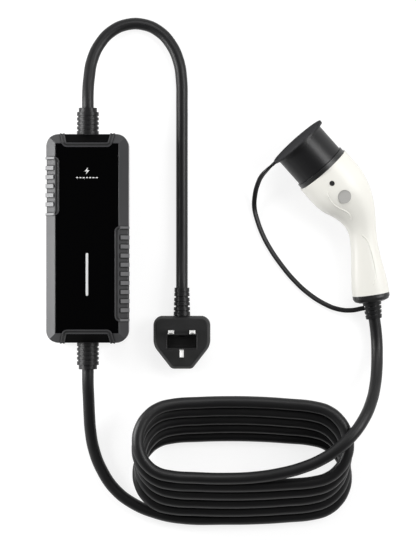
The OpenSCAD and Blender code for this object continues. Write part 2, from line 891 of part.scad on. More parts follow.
module plug_body() color("darkslategray") plug_place() {
    recess_w = carrier_w + 2 * carrier_gap;
    recess_h = carrier_h + 2 * carrier_gap;
    difference() {
        union() {
            hull() {
                plug_slice(0, plug_back_in);
                plug_slice(plug_back_h, plug_waist_in);
                plug_slice(plug_full_z, 0);
                plug_slice(plug_t - plug_face_h, plug_draft);
                plug_slice(plug_t - slice_t, plug_face_in);
            }
            translate([0, carrier_y, 0])
                block(recess_w + 2 * frame_w, recess_h + 2 * frame_w, plug_t - 1, plug_t + frame_h);
        }
        pin_slots();
        translate([0, carrier_y, 0]) block(recess_w, recess_h, plug_t - recess_d, plug_t + 1);
        translate([0, 1, plug_cord_z]) rotate([90, 0, 0])
            cylinder(r = plug_neck_r + fit, h = plug_neck_l + plug_neck_past);
    }
}

// The plug's cable boot: three rings with deep notches between them and a shallow line around each
module plug_boot() color("black") plug_place() translate([0, -plug_neck_l, plug_cord_z]) rotate([-90, 0, 0]) {
    difference() {
        union() {
            cylinder(r = plug_neck_r, h = plug_neck_l);
            translate([0, 0, plug_neck_l - eps])
                cylinder(r1 = plug_boot_r + plug_boot_flare,
                    r2 = plug_boot_r - plug_boot_taper, h = plug_boot_l);
        }
        translate([0, 0, -1]) cylinder(r = bore_r, h = 2 * plug_boot_l);
        for (i = [1, 2]) translate([0, 0, plug_neck_l + i * plug_ring_l - plug_notch_w / 2]) rotate_extrude()
            translate([plug_boot_r - plug_notch_d, 0]) square([2 * plug_notch_d, plug_notch_w]);
        for (i = [0.5, 1.5, 2.5]) translate([0, 0, plug_neck_l + i * plug_ring_l - plug_line_w / 2])
            rotate_extrude() translate([plug_boot_r - plug_line_d, 0]) square([3 * plug_line_d, plug_line_w]);
    }
}

module line_pin(side) color("gainsboro") plug_place() translate([side * pin_gap / 2, -pin_row, 0]) {
    narrow = 2 * sleeve_wall;
    translate([0, 0, plug_t + sleeve_l]) pin_blank(pin_w, pin_thick, pin_out - sleeve_l);
    block(pin_w - narrow, pin_thick - narrow, plug_t - eps, plug_t + sleeve_l + eps);
    block(pin_w, pin_thick, plug_t - pin_root, plug_t);
}

module live_pin() {
    line_pin(1);
}

module neutral_pin() {
    line_pin(-1);
}

module earth_pin() color("gainsboro") plug_place() {
    translate([0, -pin_row - pin_gap, plug_t - pin_root]) pin_blank(pin_thick, earth_w, earth_out + pin_root);
}

module pin_sleeve(side) color("black") plug_place() translate([side * pin_gap / 2, -pin_row, 0]) {
    narrow = 2 * sleeve_wall - 0.1;
    difference() {
        block(pin_w, pin_thick, plug_t, plug_t + sleeve_l);
        block(pin_w - narrow, pin_thick - narrow, plug_t - 1, plug_t + sleeve_l + 1);
    }
}

module live_sleeve() {
    pin_sleeve(1);
}

module neutral_sleeve() {
    pin_sleeve(-1);
}

module fuse_carrier() color("dimgray") plug_place() translate([0, carrier_y, 0]) {
    face = plug_t - carrier_sunk;
    difference() {
        block(carrier_w, carrier_h, plug_t - carrier_t, face);
        block(carrier_w - 2 * carrier_lip, carrier_h - 2 * carrier_lip, face - carrier_dish, plug_t);
        translate([0, carrier_h / 2, 0]) block(lever_slot_w, lever_slot_l, face - lever_slot_d, plug_t);
    }
    for (y = [-1, 1]) translate([0, y * (fuse_r + fuse_gap + prong_t / 2), 0])
        block(prong_w, prong_t, plug_t - carrier_t - prong_l, plug_t - carrier_t + eps);
}

module fuse() color("ivory") plug_place() translate([-fuse_l / 2, carrier_y, fuse_z]) rotate([0, 90, 0]) {
    translate([0, 0, fuse_cap_l - eps]) cylinder(r = fuse_r - fuse_cap_t, h = fuse_l - 2 * fuse_cap_l + 2 * eps);
    for (z = [0, fuse_l - fuse_cap_l]) translate([0, 0, z]) cylinder(r = fuse_r, h = fuse_cap_l);
}

module fuse_clips() color("goldenrod") plug_place() for (x = [-1, 1]) translate([x * clip_x, carrier_y, 0]) {
    floor_z = plug_t - recess_d;
    block(clip_w, 2 * (fuse_r + fuse_gap + clip_t), floor_z, floor_z + clip_t);
    for (y = [-1, 1]) translate([0, y * (fuse_r + fuse_gap + clip_t / 2), 0])
        block(clip_w, clip_t, floor_z, fuse_z + clip_over);
}

// Gun: +Z to the nose, +X to the underside, +Y to the side that lies uppermost
module gun_place() {
    translate([gun_x, gun_y, gun_z]) rotate([0, 0, gun_heading]) rotate([gun_tilt, 0, 0]) rotate([90, 0, 180])
        children();
}

function ease(t) = let (c = min(max(t, 0), 1)) c * c * (3 - 2 * c);

function taper(s, head, grip, tail) = grip + (head - grip) * (1 - ease((s - neck_from) / (neck_to - neck_from)))
    + (tail - grip) * ease((s - flare_from) / (gun_l - flare_from));

function half_w_at(s) = taper(s, head_w, grip_w, tail_w);

function half_t(s) = taper(s, head_t, grip_t, tail_t);

function spine(s) = let (
    a = min(max((s - head_l) / bend_r * 180 / PI, 0), bend_angle),
    rest = max(s - head_l - gun_arc_l, 0),
    straight = min(s, head_l))
    [bend_r * (1 - cos(a)) + rest * sin(a), -straight - bend_r * sin(a) - rest * cos(a), a];

function gun_point(s, angle, w, t) = let (
    p = spine(s),
    a = w * sign(cos(angle)) * pow(abs(cos(angle)), 2 / section_power),
    y = t * pow(abs(sin(angle)), 2 / section_power))
    [p[0] + a * cos(p[2]), y, p[1] + a * sin(p[2])];

module half_shell() {
    n = gun_sides + 1;
    m = 2 * n;
    stations = [for (i = [0:gun_rings - 1]) gun_l * i / (gun_rings - 1)];
    points = [for (s = stations) each concat(
        [for (k = [0:gun_sides]) gun_point(s, 180 * k / gun_sides, half_w_at(s), half_t(s))],
        [for (k = [gun_sides:-1:0])
            gun_point(s, 180 * k / gun_sides, half_w_at(s) - gun_wall, half_t(s) - gun_wall)])];
    sides = [for (i = [0:gun_rings - 2], k = [0:m - 1]) let (q = (k + 1) % m)
        each [[i * m + k, i * m + q, (i + 1) * m + q], [i * m + k, (i + 1) * m + q, (i + 1) * m + k]]];
    last = (gun_rings - 1) * m;
    ends = [for (k = [0:gun_sides - 1]) each [
        [m - 1 - k, m - 2 - k, k + 1, k],
        [last + k, last + k + 1, last + m - 2 - k, last + m - 1 - k]]];
    polyhedron(points, concat(sides, ends));
}

// Half thickness of the gun at a distance from the spine, and what a screw there needs
function skin_t(s, side) = half_t(s) * pow(1 - pow(abs(side) / half_w_at(s), section_power), 1 / section_power);

function boss_h_at(g) = skin_t(g[0], abs(g[1]) + gun_boss_r) - gun_wall * gun_boss_sunk;

function screw_seat_at(g) = gun_seat_d - skin_t(g[0], g[1]);

module at_spine(s, side) {
    p = spine(s);
    translate([p[0] + side * cos(p[2]), 0, p[1] + side * sin(p[2])]) children();
}

module bossed_half() {
    mirror([0, 1, 0]) half_shell();
    for (g = gun_screws_at) at_spine(g[0], g[1]) rotate([90, 0, 0])
        cylinder(r = gun_boss_r, h = boss_h_at(g));
}

module gun_lower_shell() color("ivory") gun_place() {
    difference() {
        bossed_half();
        for (g = gun_screws_at) at_spine(g[0], g[1]) rotate([90, 0, 0]) {
            translate([0, 0, -1]) cylinder(r = clear_r, h = 2 * head_t);
            translate([0, 0, -screw_seat_at(g)]) cylinder(r = head_clear_r, h = head_t);
        }
    }
}

module gun_upper_shell() color("ivory") gun_place() {
    difference() {
        mirror([0, 1, 0]) bossed_half();
        for (g = gun_screws_at) at_spine(g[0], g[1]) rotate([-90, 0, 0])
            translate([0, 0, -1]) cylinder(r = pilot_r, h = gun_screw_bite + 2);
        at_spine(badge_s, badge_x) translate([0, half_t(badge_s) - badge_t, 0]) rotate([-90, 0, 0])
            cylinder(r = badge_r + fit, h = head_t);
        at_spine(dot_s, dot_x) translate([0, half_t(dot_s) - dot_t, 0]) rotate([-90, 0, 0])
            cylinder(r = dot_r + fit, h = head_t);
    }
}

module gun_screws() color("silver") gun_place() {
    for (g = gun_screws_at) at_spine(g[0], g[1]) translate([0, screw_seat_at(g) - screw_head_h, 0])
        rotate([-90, 0, 0]) screw(gun_screw_bite - screw_seat_at(g));
}

module badge() color("gray") gun_place() at_spine(badge_s, badge_x)
    translate([0, half_t(badge_s) - badge_t, 0]) rotate([-90, 0, 0]) cylinder(r = badge_r, h = badge_t);

module screw_plug() color("black") gun_place() at_spine(dot_s, dot_x)
    translate([0, half_t(dot_s) - dot_t, 0]) rotate([-90, 0, 0]) cylinder(r = dot_r, h = dot_t);

module holes(places, r, z0, z1) {
    for (p = places) translate([p[0], p[1], z0]) cylinder(r = r, h = z1 - z0);
}

// A round bar with a flat along its upper side
module flatted_bar(r, z0, z1) {
    intersection() {
        translate([0, 0, z0]) cylinder(r = r, h = z1 - z0);
        translate([nose_flat - r + big / 2, 0, 0]) cube(big, center = true);
    }
}

// The nose: an open shroud on a round seat, with a tower for each of the seven contacts standing in it
module nose() color("black") gun_place() {
    back = -nose_back;
    tip = nose_l - contact_in;
    power_hole_r = power_r + power_wall + contact_gap;
    signal_hole_r = signal_r + signal_wall + contact_gap;
    tower_top = nose_l - tower_back;
    difference() {
        union() {
            difference() {
                flatted_bar(nose_r, collar_l, nose_l);
                flatted_bar(nose_r - nose_wall, well_z, nose_l + 1);
            }
            translate([0, 0, back]) cylinder(r = nose_seat_r, h = nose_back + collar_l + eps);
            holes(power_places, power_hole_r + tower_wall, collar_l, tower_top);
            holes(spare_places, power_hole_r + tower_wall, collar_l, tower_top);
            holes(signal_places, signal_hole_r + tower_wall, collar_l, tower_top);
        }
        holes(power_places, power_hole_r, back - 1, tip);
        holes(signal_places, signal_hole_r, back - 1, tip);
        holes(power_places, power_r + tip_gap, tip - 1, nose_l + 1);
        holes(signal_places, signal_r + tip_gap, tip - 1, nose_l + 1);
        holes(spare_places, power_r + tip_gap, collar_l, nose_l + 1);
    }
}

module contact_tubes(places, r, thick) {
    tip = nose_l - contact_in;
    difference() {
        holes(places, r + thick, tip - contact_l, tip);
        holes(places, r, tip - contact_l + crimp_l, tip + 1);
    }
}

module power_contacts() color("peru") gun_place() contact_tubes(power_places, power_r, power_wall);

module signal_contacts() color("peru") gun_place() contact_tubes(signal_places, signal_r, signal_wall);

module collar_ring() color("black") gun_place() {
    difference() {
        cylinder(r = collar_r, h = collar_l);
        translate([0, 0, -1]) cylinder(r = nose_seat_r + collar_gap, h = collar_l + 2);
    }
}

module dust_cap() color("dimgray") gun_place() {
    base = collar_l + cap_gap;
    roof = cap_out - cap_end;
    back = cap_out - flange_t;
    rotate_extrude($fn = 64) polygon([[0, roof], [cap_bore_r, roof], [cap_bore_r, base], [cap_r, base],
        [cap_r, back - cap_flare_l], [cap_r + cap_flare, back], [flange_r, back], [flange_r, cap_out],
        [flange_r - cap_rim_w, cap_out], [flange_r - cap_rim_w - 1, cap_out - cap_dish],
        [0, cap_out - cap_dish]]);
    translate([flange_r - 1, -lug_w / 2, back]) cube([lug_l + 1, lug_w, flange_t]);
}

module tail_place() {
    p = spine(gun_l);
    translate([p[0], 0, p[1]]) rotate([0, 180 - bend_angle, 0]) children();
}

function oval(w, t, z) = [for (k = [0:2 * gun_sides - 1]) let (
    a = 180 * k / gun_sides,
    p = 2 / section_power)
    [w * sign(cos(a)) * pow(abs(cos(a)), p), t * sign(sin(a)) * pow(abs(sin(a)), p), z]];

module tail_ring() color("black") gun_place() tail_place() {
    n = 2 * gun_sides;
    steps = [[0, 1], [ring_flat, 1], [0.8, 0.92], [1, 0.72]];
    points = [for (q = steps) each oval(tail_w * q[1], tail_t * q[1], tail_ring_l * q[0])];
    sides = [for (i = [0:2], k = [0:n - 1]) let (q = (k + 1) % n)
        each [[i * n + k, (i + 1) * n + k, (i + 1) * n + q], [i * n + k, (i + 1) * n + q, i * n + q]]];
    difference() {
        polyhedron(points, concat(sides, [[for (k = [0:n - 1]) k], [for (k = [n - 1:-1:0]) 3 * n + k]]));
        translate([0, 0, -1]) cylinder(r = gun_neck_r + fit, h = tail_ring_l + 2);
    }
}

module gun_boot() color("black") gun_place() tail_place() {
    pitch = gun_boot_l / gun_ribs;
    groove_w = pitch * gun_groove_share;
    difference() {
        union() {
            translate([0, 0, -gun_boot_stop_l]) cylinder(r = gun_boot_r + gun_boot_stop, h = gun_boot_stop_l);
            translate([0, 0, -eps]) cylinder(r = gun_neck_r, h = tail_ring_l + 2 * eps);
            translate([0, 0, tail_ring_l])
                cylinder(r1 = gun_boot_r, r2 = gun_boot_r - gun_boot_taper, h = gun_boot_l);
        }
        translate([0, 0, -gun_boot_stop_l - 1])
            cylinder(r = gun_bore_r, h = gun_boot_stop_l + tail_ring_l + gun_boot_l + 2);
        for (i = [1:gun_ribs - 1]) translate([0, 0, tail_ring_l + i * pitch - groove_w / 2]) rotate_extrude()
            translate([gun_boot_r - gun_groove_d, 0]) square([2 * gun_groove_d, groove_w]);
    }
}

module gun_clamp() color("slategray") gun_place() at_spine(gun_clamp_s, 0) {
    s = gun_clamp_s - gun_clamp_l / 2;
    slack = gun_wall + fit;
    rotate([0, 180 - spine(s)[2], 0]) difference() {
        linear_extrude(gun_clamp_l, center = true)
            polygon([for (q = oval(half_w_at(s) - slack, half_t(s) - slack, 0)) [q[0], q[1]]]);
        cylinder(r = gun_bore_r, h = gun_clamp_l + 2, center = true);
    }
}

// Cables: a ring of points at each route point, joined into one closed tube
function heading(p, i) = let (
    a = p[max(i - 1, 0)],
    b = p[min(i + 1, len(p) - 1)])
    (b - a) / norm(b - a);

function tube_ring(p, i, rx, ry, n, top) = let (
    t = heading(p, i),
    side = cross(t, top) / norm(cross(t, top)),
    up = cross(side, t))
    [for (k = [0:n - 1]) p[i] + rx * cos(360 * k / n) * side + ry * sin(360 * k / n) * up];

module tube(p, rx, ry, n, top = [0, 0, 1]) {
    last = (len(p) - 1) * n;
    points = [for (i = [0:len(p) - 1]) each tube_ring(p, i, rx, ry, n, top)];
    sides = [for (i = [0:len(p) - 2], k = [0:n - 1]) let (q = (k + 1) % n)
        each [[i * n + k, i * n + q, (i + 1) * n + q], [i * n + k, (i + 1) * n + q, (i + 1) * n + k]]];
    polyhedron(points, concat(sides, [[for (k = [n - 1:-1:0]) k], [for (k = [0:n - 1]) last + k]]));
}

module mains_cable() color("black") tube(mains_route, cable_r, cable_r, cable_sides);

module charge_cable_in() color("black") tube(lead_in_route, cable_r, cable_r, cable_sides);

module gun_cores() color("saddlebrown") gun_place() {
    step = (gun_core_end - nose_back) / gun_core_steps;
    tube([for (i = [0:gun_core_steps]) let (p = spine(nose_back + i * step)) [p[0], 0, p[1]]],
        gun_core_r, gun_core_r, cable_sides, [0, 1, 0]);
}

module charge_cable_out() color("black") tube(lead_out_route, cable_r, cable_r, cable_sides);

module cap_tether() color("black") tube(tether_route, tether_w / 2, tether_t / 2, tether_sides);

module turn_plan(grow) {
    run = coil_w - 2 * coil_fold_r;
    square([run, 2 * (coil_fold_r + grow)], center = true);
    for (x = [-1, 1]) translate([x * run / 2, 0]) circle(coil_fold_r + grow);
}

module cable_coil() color("black") {
    for (i = [0:coil_turns - 1])
        translate([coil_x, coil_front_y + coil_fold_r + i * coil_step, i * cable_d]) linear_extrude(cable_d)
            difference() {
                turn_plan(cable_r);
                turn_plan(-cable_r);
            }
}

rear_shell();
front_shell();
shell_seal();
front_panel();
light_bar();
top_insert();
bottom_insert();
led_board();
main_board();
relays();
leakage_sensor();
supply_module();
capacitors();
input_terminals();
output_terminals();
shell_screws();
board_screws();
mains_clamp();
charge_clamp();
clamp_screws();
mains_boot();
charge_boot();
mains_cores();
charge_cores();
plug_body();
plug_boot();
live_pin();
neutral_pin();
earth_pin();
live_sleeve();
neutral_sleeve();
fuse_carrier();
fuse();
fuse_clips();
gun_upper_shell();
gun_lower_shell();
nose();
collar_ring();
power_contacts();
signal_contacts();
gun_screws();
gun_cores();
gun_clamp();
tail_ring();
gun_boot();
badge();
screw_plug();
dust_cap();
cap_tether();
mains_cable();
charge_cable_in();
cable_coil();
charge_cable_out();
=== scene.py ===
import json
import math
import bpy
from mathutils import Matrix, Vector

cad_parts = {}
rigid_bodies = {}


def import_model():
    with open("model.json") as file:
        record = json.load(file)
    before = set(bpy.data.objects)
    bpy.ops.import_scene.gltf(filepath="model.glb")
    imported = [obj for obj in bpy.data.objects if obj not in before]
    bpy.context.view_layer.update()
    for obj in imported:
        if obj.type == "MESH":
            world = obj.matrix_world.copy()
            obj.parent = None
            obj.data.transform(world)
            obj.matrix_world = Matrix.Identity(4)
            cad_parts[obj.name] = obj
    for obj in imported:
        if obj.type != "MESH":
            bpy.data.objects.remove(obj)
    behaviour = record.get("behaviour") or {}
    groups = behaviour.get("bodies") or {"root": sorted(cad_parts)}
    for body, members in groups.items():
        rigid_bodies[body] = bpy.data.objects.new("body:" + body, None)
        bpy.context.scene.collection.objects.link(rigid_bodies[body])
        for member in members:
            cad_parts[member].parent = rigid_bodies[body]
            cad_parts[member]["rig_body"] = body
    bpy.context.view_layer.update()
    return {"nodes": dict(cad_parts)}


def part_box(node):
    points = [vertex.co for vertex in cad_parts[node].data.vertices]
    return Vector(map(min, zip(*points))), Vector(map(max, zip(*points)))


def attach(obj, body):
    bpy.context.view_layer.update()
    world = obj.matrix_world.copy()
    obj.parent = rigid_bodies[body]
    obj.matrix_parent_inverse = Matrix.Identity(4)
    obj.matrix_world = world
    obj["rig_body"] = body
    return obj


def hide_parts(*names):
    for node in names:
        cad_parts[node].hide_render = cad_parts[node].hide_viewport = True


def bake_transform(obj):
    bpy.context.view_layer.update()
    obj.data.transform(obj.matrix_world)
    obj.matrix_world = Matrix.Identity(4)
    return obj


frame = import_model()
nodes = frame["nodes"]
print("solids loaded:", len(nodes))

# camera, straight above the laid-out charger
shot = {"x": 0.126, "y": -0.034, "height": 3.2, "lens": 201.0}
bpy.ops.object.camera_add(location=(shot["x"], shot["y"], shot["height"]), rotation=(0, 0, 0))
camera = bpy.context.object
camera.name = "overheadCamera"
camera.data.lens = shot["lens"]
bpy.context.scene.camera = camera
bpy.context.scene.view_settings.view_transform = "Standard"
print("camera set")


def dropSelection():
    if bpy.context.object and bpy.context.object.mode != "OBJECT":
        bpy.ops.object.mode_set(mode="OBJECT")
    bpy.ops.object.select_all(action="DESELECT")


def pick(piece):
    dropSelection()
    piece.select_set(True)
    bpy.context.view_layer.objects.active = piece


weldGap = 0.00001  # points closer than this become one


def weldAndSmooth(angle, turnOut=False):
    # merges the active piece's doubles, and shades it smooth where faces meet under this angle
    bpy.ops.object.mode_set(mode="EDIT")
    bpy.ops.mesh.select_all(action="SELECT")
    bpy.ops.mesh.remove_doubles(threshold=weldGap)
    if turnOut:
        bpy.ops.mesh.normals_make_consistent(inside=False)
    bpy.ops.object.mode_set(mode="OBJECT")
    bpy.ops.object.shade_smooth_by_angle(angle=math.radians(angle))


def cordCurve(name, route, width, alongSteps=8, roundSteps=6):
    line = bpy.data.curves.new(name, "CURVE")
    line.dimensions = "3D"
    line.resolution_u = alongSteps
    line.bevel_depth = width / 2
    line.bevel_resolution = roundSteps
    line.use_fill_caps = True
    spline = line.splines.new("BEZIER")
    spline.bezier_points.add(len(route) - 1)
    for point, place in zip(spline.bezier_points, route):
        point.co = place
        point.handle_left_type = "AUTO"
        point.handle_right_type = "AUTO"
    piece = bpy.data.objects.new(name, line)
    bpy.context.scene.collection.objects.link(piece)
    return piece


# mains lead: out of the top of the box, over, and down into the plug
mainsLead = {
    "width": 0.0124,
    "length": 0.50,
    "leavesBox": (0, 0.109, 0.025),
    "route": [
        (0, 0.087, 0.025), (0, 0.110, 0.025), (0, 0.137, 0.025),
        (0, 0.152, 0.024), (0.001, 0.168, 0.021), (0.004, 0.187, 0.017),
        (0.012, 0.205, 0.013), (0.025, 0.219, 0.010), (0.041, 0.226, 0.008),
        (0.058, 0.226, 0.007), (0.074, 0.219, 0.0066), (0.087, 0.205, 0.0066),
        (0.095, 0.187, 0.0066), (0.098, 0.168, 0.0066), (0.0985, 0.140, 0.0066),
        (0.0985, 0.100, 0.0066), (0.0985, 0.060, 0.0066), (0.0985, 0.020, 0.0066),
        (0.0985, -0.005, 0.007), (0.0985, -0.025, 0.0094), (0.0985, -0.040, 0.0118),
        (0.0985, -0.052, 0.0125), (0.0985, -0.066, 0.0125), (0.0985, -0.078, 0.0125),
    ],
}
mainsCord = cordCurve("mainsCord", mainsLead["route"], mainsLead["width"])

# charge lead: out of the bottom of the box, round the hank, and up into the gun
chargeLead = {
    "width": 0.0124,
    "length": 3.25,
    "leavesBox": (0, -0.109, 0.025),
    "intoHank": [
        (0, -0.087, 0.025), (0, -0.110, 0.025), (0, -0.137, 0.025),
        (0, -0.152, 0.0235), (0.0005, -0.168, 0.019), (0.001, -0.185, 0.013),
        (0.002, -0.202, 0.0085), (0.0055, -0.222, 0.0068), (0.0135, -0.243, 0.0066),
        (0.028, -0.2645, 0.0066), (0.0475, -0.2795, 0.0066), (0.070, -0.289, 0.0066),
        (0.095, -0.2945, 0.0066),
    ],
    "outOfHank": [
        (0.0865, -0.2466, 0.0618), (0.1158, -0.2489, 0.0580), (0.1454, -0.2497, 0.0562),
        (0.1751, -0.2483, 0.0567), (0.202, -0.2440, 0.0598), (0.224, -0.2378, 0.0640),
        (0.2435, -0.2292, 0.0680), (0.2605, -0.2180, 0.0700), (0.2755, -0.2040, 0.0684),
        (0.2875, -0.1880, 0.0605), (0.2962, -0.1705, 0.0465), (0.3012, -0.153, 0.0298),
        (0.3034, -0.137, 0.0188), (0.3041, -0.122, 0.0119), (0.3040, -0.110, 0.0096),
        (0.3031, -0.098, 0.0100), (0.3015, -0.086, 0.0118), (0.2988, -0.068, 0.0142),
        (0.296, -0.049, 0.0163), (0.293, -0.027, 0.0186),
    ],
}

# the hank is wound by hand in flat bowed turns, one on another, each lying a little further back
hank = {
    "middle": 0.162, "front": -0.297, "width": 0.216, "foldRadius": 0.038, "bow": 6,
    "turns": 5, "runPoints": 5, "foldPoints": 8, "leadInPoints": 2,
    "firstLift": 0.0064, "climbFrom": 0.72, "sag": 0.0025, "lean": 0.0093, "sway": 0.0018, "swayBeat": 4.6,
}


def hankHeight(x, done):
    # each turn lies on the one below, climbs on to the next at the left fold, and sags along its runs
    climb = max(done % 1 - hank["climbFrom"], 0) / (1 - hank["climbFrom"])
    risen = math.floor(done) + climb * climb * (3 - 2 * climb)
    dip = 1 - (x / (hank["width"] / 2)) ** 2
    return hank["firstLift"] + risen * (chargeLead["width"] - hank["sag"] * dip)


def hankTurn(turn):
    # one turn: along the bowed front, round the right fold, along the bowed back, and round the left fold
    radius = hank["foldRadius"]
    bow = math.radians(hank["bow"])
    halfRun = hank["width"] / 2 - radius * (1 - math.sin(bow))
    runRadius = halfRun / math.sin(bow)
    runFoot = runRadius * math.cos(bow) - radius * math.cos(bow)
    foldMiddle = halfRun - radius * math.sin(bow)
    runLength = 2 * bow * runRadius
    foldLength = (math.pi - 2 * bow) * radius
    half = []
    for step in range(hank["runPoints"]):
        swing = bow * (2 * step / hank["runPoints"] - 1)
        half.append((runLength * step / hank["runPoints"],
                     runRadius * math.sin(swing), runFoot - runRadius * math.cos(swing)))
    for step in range(hank["foldPoints"]):
        share = step / hank["foldPoints"]
        swing = bow + (math.pi - 2 * bow) * share
        half.append((runLength + foldLength * share,
                     foldMiddle + radius * math.sin(swing), -radius * math.cos(swing)))
    halfLength = runLength + foldLength
    halfDepth = runRadius - runFoot
    places = []
    for side, sign in ((0, 1), (1, -1)):
        for along, x, y in half:
            done = turn + (side * halfLength + along) / (2 * halfLength)
            sway = hank["sway"] * math.sin(hank["swayBeat"] * done)  # no two turns lie quite alike
            places.append((
                hank["middle"] + sign * x + sway,
                hank["front"] + halfDepth + sign * y + hank["lean"] * done,
                hankHeight(sign * x, done),
            ))
    return places


hankRoute = []
for turn in range(hank["turns"]):
    hankRoute += hankTurn(turn)
hankRoute = hankRoute[hank["leadInPoints"]:]  # the lead-in gives these first points
chargeRoute = chargeLead["intoHank"] + hankRoute + chargeLead["outOfHank"]
chargeCord = cordCurve("chargeCord", chargeRoute, chargeLead["width"])
print("cords laid, charge lead points:", len(chargeRoute))

# flat rubber strap from the gun's boot to the dust cap's lug
strap = {
    "width": 0.005, "thick": 0.003, "edge": 0.0011, "edgeSteps": 3, "length": 0.235, "neck": 0.85,
    "smooth": 40, "pathSteps": 4,
    "twist": [6, 14, 22, 24, 24, 24, 24, 24, 24, 24, 28, 40, 70, 90],
    "route": [
        (0.2905, -0.073, 0.0134), (0.276, -0.0755, 0.0092), (0.263, -0.0742, 0.005),
        (0.250, -0.0692, 0.0026), (0.232, -0.0577, 0.0024), (0.216, -0.0428, 0.0022),
        (0.203, -0.027, 0.0022), (0.192, -0.011, 0.0022), (0.184, 0.004, 0.0022),
        (0.178, 0.020, 0.0026), (0.175, 0.033, 0.0042), (0.1755, 0.046, 0.010),
        (0.1785, 0.058, 0.020), (0.1825, 0.066, 0.029), (0.188, 0.072, 0.0348),
        (0.1945, 0.0779, 0.0365),
    ],
}


def strapProfile():
    # the strap's section, a flat bar with rounded edges
    dropSelection()
    bpy.ops.mesh.primitive_plane_add(size=1, location=(0, 0, 0))
    section = bpy.context.object
    section.scale = (strap["width"], strap["thick"], 1)
    bpy.ops.object.transform_apply(location=False, rotation=False, scale=True)
    bpy.ops.object.mode_set(mode="EDIT")
    bpy.ops.mesh.select_all(action="SELECT")
    bpy.ops.mesh.bevel(offset=strap["edge"], segments=strap["edgeSteps"], affect="VERTICES")
    bpy.ops.mesh.select_all(action="SELECT")
    bpy.ops.mesh.delete(type="ONLY_FACE")
    bpy.ops.object.mode_set(mode="OBJECT")
    bpy.ops.object.convert(target="CURVE")
    return bpy.context.object


section = strapProfile()
capStrap = cordCurve("capStrap", strap["route"], strap["thick"])
capStrap.data.twist_mode = "Z_UP"
capStrap.data.bevel_mode = "OBJECT"
capStrap.data.bevel_object = section
# it lies tilted along the floor, and turns on edge to meet the cap's rim
twisted = capStrap.data.splines[0].bezier_points[-len(strap["twist"]):]
for point, turn in zip(twisted, strap["twist"]):
    point.tilt = math.radians(turn)
twisted[-1].radius = strap["neck"]
pick(capStrap)
bpy.ops.object.convert(target="MESH")
capStrap = bpy.context.object
bpy.data.objects.remove(section)
pick(capStrap)
weldAndSmooth(strap["smooth"], turnOut=True)
print("strap made, vertices:", len(capStrap.data.vertices))

# smooth skins over the moulded solids that are made of flat facets
skinAngle = 34


def smoothSkin(name, source):
    piece = bpy.data.objects.new(name, nodes[source].data.copy())
    bpy.context.scene.collection.objects.link(piece)
    pick(piece)
    bpy.ops.mesh.customdata_custom_splitnormals_clear()
    weldAndSmooth(skinAngle)
    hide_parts(source)
    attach(piece, nodes[source]["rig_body"])
    return piece


gunUpper = smoothSkin("gunUpper", "gun_upper_shell")
gunLower = smoothSkin("gunLower", "gun_lower_shell")
plugShell = smoothSkin("plugShell", "plug_body")
print("gun and plug skins smoothed")

# raised outlines moulded on both sides of the gun: one round the head, one down the grip
gunAxis = {"centre": (0.246, 0.072, 0.03143), "heading": 42, "tilt": 7}
gripLines = {
    "bead": 0.0009, "sunk": 0.0003, "steps": 6, "alongSteps": 2, "roundSteps": 2, "dropFrom": 0.2,
    "headLine": [
        (0.2503, 0.0479), (0.2511, 0.0433), (0.2558, 0.0363), (0.2620, 0.0317), (0.2690, 0.0285),
        (0.2736, 0.0246), (0.2752, 0.0192),
    ],
    "gripLine": [
        (0.2869, 0.0036), (0.2931, -0.0026), (0.2969, -0.0135), (0.3001, -0.0260), (0.3017, -0.0384),
        (0.2995, -0.0480),
    ],
}


def throughPoints(points, steps):
    # a smooth line through given points
    ends = [points[0]] + list(points) + [points[-1]]
    line = []
    for i in range(1, len(ends) - 2):
        a, b, c, d = (Vector(p) for p in ends[i - 1:i + 3])
        for step in range(steps):
            t = step / steps
            line.append(0.5 * (2 * b + (c - a) * t + (2 * a - 5 * b + 4 * c - d) * t * t
                               + (3 * b - a - 3 * c + d) * t ** 3))
    line.append(Vector(points[-1]))
    return line


def beadOnGun(plan):
    # the line is dropped from above on to the upper shell
    down = Vector((0, 0, -1))
    onShell = []
    for spot in throughPoints(plan, gripLines["steps"]):
        hit, place, normal, _ = gunUpper.ray_cast(Vector((spot.x, spot.y, gripLines["dropFrom"])), down)
        if hit:
            onShell.append(place - normal * gripLines["sunk"])
    return onShell


def sweepBead(name, places):
    piece = cordCurve(name, places, 2 * gripLines["bead"], gripLines["alongSteps"], gripLines["roundSteps"])
    pick(piece)
    bpy.ops.object.convert(target="MESH")
    piece = bpy.context.object
    bpy.ops.object.shade_smooth()
    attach(piece, "charger")
    return piece


turnGun = Matrix.Rotation(math.radians(gunAxis["heading"]), 3, "Z")
tiltGun = Matrix.Rotation(math.radians(gunAxis["tilt"]), 3, "X")
gunUp = turnGun @ tiltGun @ Vector((0, 0, 1))
gunCentre = Vector(gunAxis["centre"])
gunBeads = []
for line in ("headLine", "gripLine"):
    upper = beadOnGun(gripLines[line])
    lower = [p - 2 * (p - gunCentre).dot(gunUp) * gunUp for p in upper]
    gunBeads.append(sweepBead(line + "Upper", upper))
    gunBeads.append(sweepBead(line + "Lower", lower))
print("grip outlines:", len(gunBeads))

# plain printed mark on the front panel: a bolt over a row of short dashes
mark = {
    "boltY": 0.0703, "boltHigh": 0.0072, "boltWide": 0.0050, "ink": 0.00006,
    "boltOutline": [
        (0.20, 0.50), (-0.50, -0.08), (-0.04, -0.08), (-0.20, -0.50), (0.50, 0.10), (0.05, 0.10),
    ],
    "dashY": 0.0632, "dashLong": 0.0021, "dashHigh": 0.0011, "dashGap": 0.0034, "dashes": 7,
    "dashCorner": 0.3, "cornerSteps": 3,
}
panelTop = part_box("front_panel")[1].z


